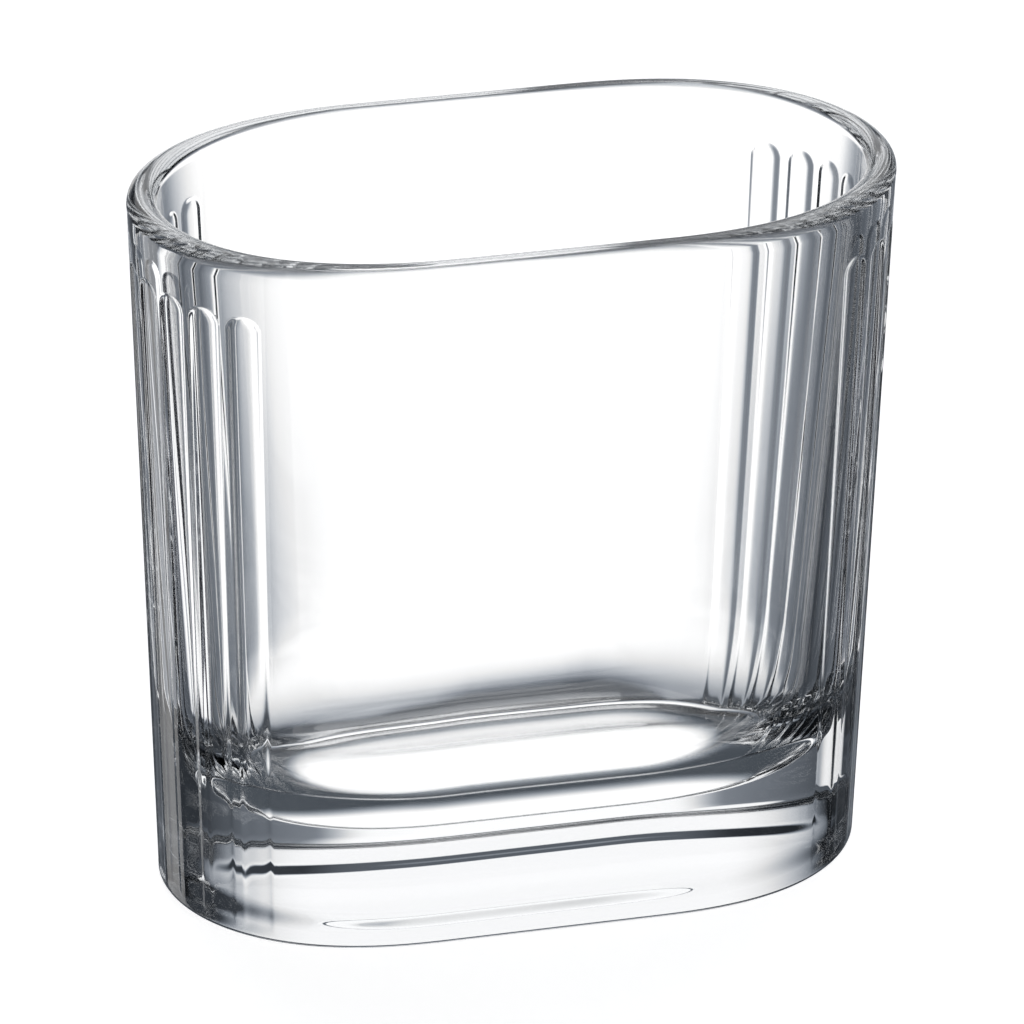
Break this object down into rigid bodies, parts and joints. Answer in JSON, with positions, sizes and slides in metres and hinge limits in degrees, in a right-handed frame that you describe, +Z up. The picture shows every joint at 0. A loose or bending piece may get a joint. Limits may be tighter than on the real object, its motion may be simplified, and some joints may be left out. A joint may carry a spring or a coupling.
{
  "type": "appetizer glass",
  "caption": "Clear pressed glass with an oblong plan, straight long sides, fluted round ends, a thick base and an open rounded rim, for serving small appetizers or desserts.",
  "frame": {"origin": "middle of the foot, on the surface that the glass stands on", "axes": "+Z up through the open rim, +X along the long sides towards one fluted end, +Y across the long sides"},
  "size_m": [0.085, 0.0454, 0.083],
  "materials": {
    "clear_glass": "clear soda-lime glass, pressed in a mould and fire-polished"
  },
  "bodies": {
    "root": {"glass_body": "clear_glass"}
  },
  "joints": []
}
